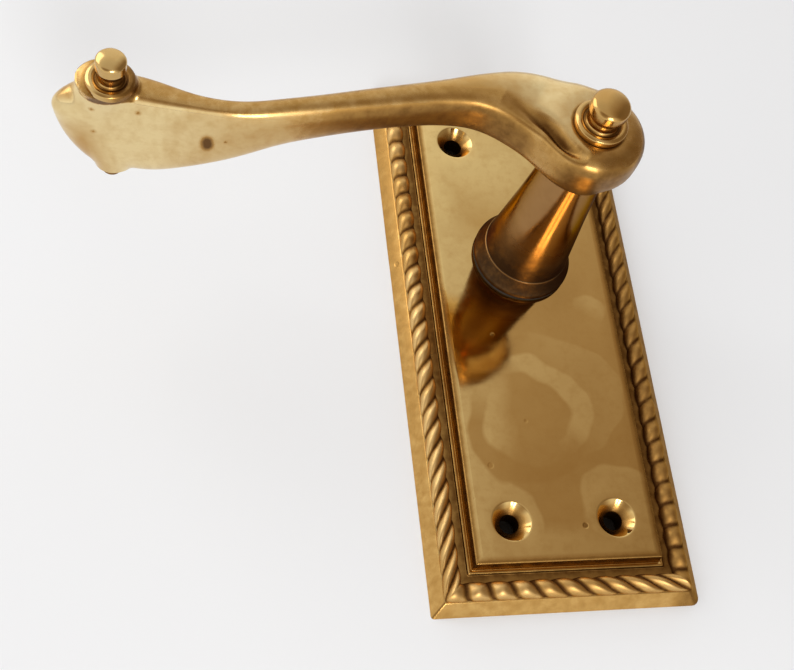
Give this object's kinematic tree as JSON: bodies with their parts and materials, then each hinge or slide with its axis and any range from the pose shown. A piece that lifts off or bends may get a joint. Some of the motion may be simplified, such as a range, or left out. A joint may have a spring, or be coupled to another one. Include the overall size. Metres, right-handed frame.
{
  "type": "door lever handle",
  "caption": "Scroll lever door handle on a rope-edged rectangular backplate, turned down by hand to draw a latch and returned by a spring.",
  "frame": {"origin": "on the spindle axis, in the plane of the backplate's back face that lies against the door", "axes": "+Z out of the door along the spindle axis, +Y up the door, +X away from the lever's free end"},
  "size_m": [0.1348, 0.132, 0.0663],
  "materials": {
    "plate_brass": "polished, lightly tarnished",
    "rope_brass": "cast and polished",
    "lever_brass": "polished, lightly tarnished",
    "button_brass": "turned and polished",
    "spring_steel": "oiled",
    "case_steel": "zinc plated",
    "nylon": "black nylon"
  },
  "bodies": {
    "plate": {"backplate": "plate_brass", "rope_edge": "rope_brass", "bush": "nylon", "friction_washer": "nylon", "return_spring": "spring_steel", "cover_plate": "case_steel", "cover_screws": "case_steel"},
    "lever": {"neck": "lever_brass", "lever_arm": "lever_brass", "hub_button": "button_brass", "scroll_front_button": "button_brass", "scroll_back_button": "button_brass", "drive_washer": "case_steel", "circlip": "spring_steel"}
  },
  "joints": [
    {"name": "lever_turn", "type": "hinge", "parent": "plate", "child": "lever", "pos_m": [0, 0, 0.005], "axis": [0, 0, 1], "range_deg": [0, 45], "stiffness_Nm_per_rad": 0.6, "springref_deg": -20.05, "deforming": ["return_spring"]}
  ]
}
